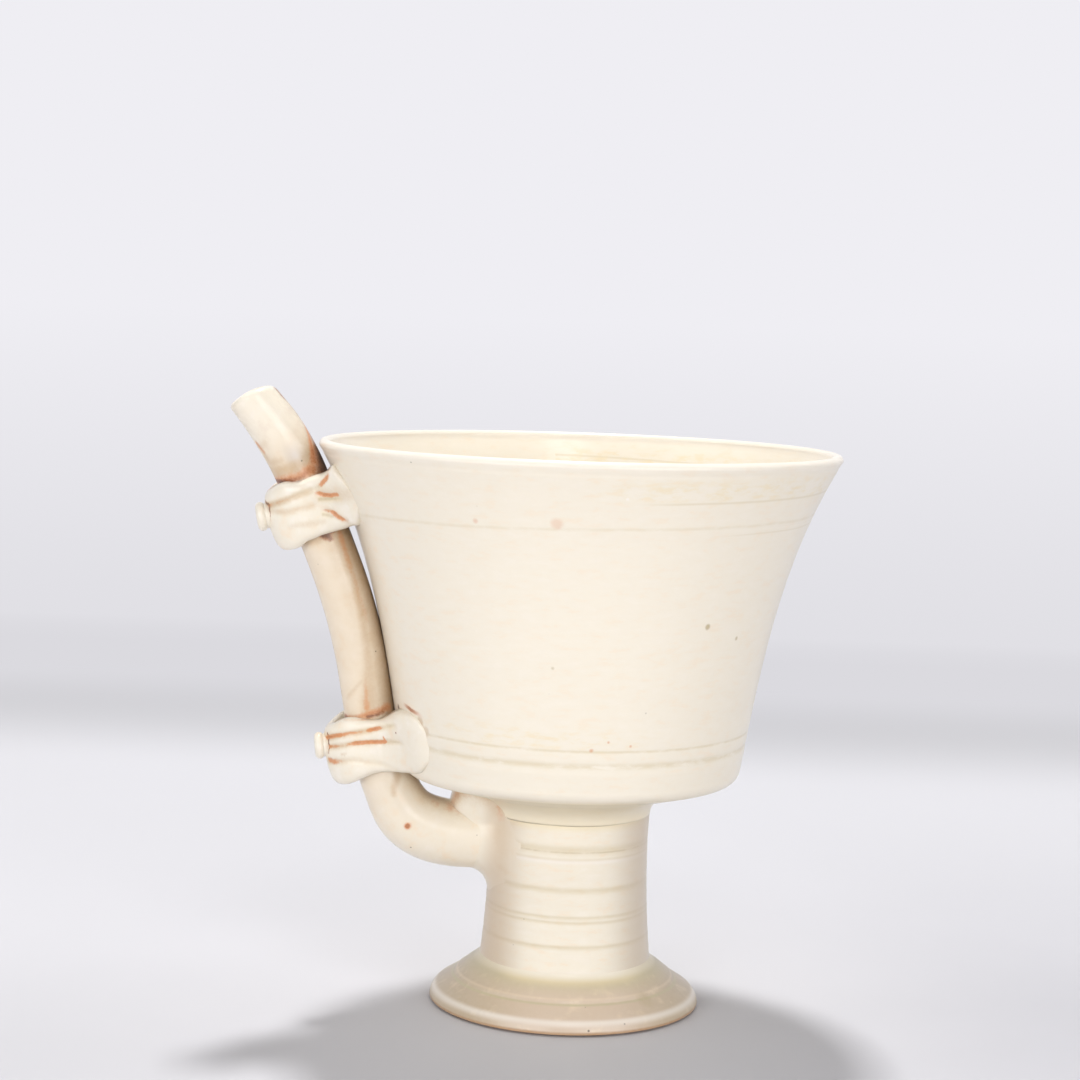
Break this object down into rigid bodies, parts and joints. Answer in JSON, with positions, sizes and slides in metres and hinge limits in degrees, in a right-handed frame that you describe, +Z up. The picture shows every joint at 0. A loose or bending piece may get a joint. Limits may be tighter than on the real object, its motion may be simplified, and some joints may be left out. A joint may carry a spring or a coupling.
{
  "type": "porcelain straw cup",
  "caption": "Flared porcelain drinking bowl on a hollow stem and foot, with a side drinking tube held by two ribbed straps.",
  "frame": {"origin": "middle of the flat base, on the axis of foot, stem and bowl", "axes": "+Z up along the bowl's axis; the drinking tube stands on the -X side and its middle line lies in the XZ plane; +Y away from the picture's viewer"},
  "size_m": [0.1171, 0.1002, 0.1187],
  "materials": {
    "ivory_glaze": "glossy ivory glaze",
    "foot_glaze": "glossy ivory glaze, olive where it pools",
    "stained_glaze": "glossy ivory glaze with iron stains in the creases"
  },
  "bodies": {
    "root": {"foot": "foot_glaze", "stem": "ivory_glaze", "bowl": "ivory_glaze", "drinking_tube": "stained_glaze", "tube_root_collar": "stained_glaze", "lower_strap": "stained_glaze", "upper_strap": "stained_glaze", "lower_strap_button": "stained_glaze", "upper_strap_button": "stained_glaze"}
  },
  "joints": []
}
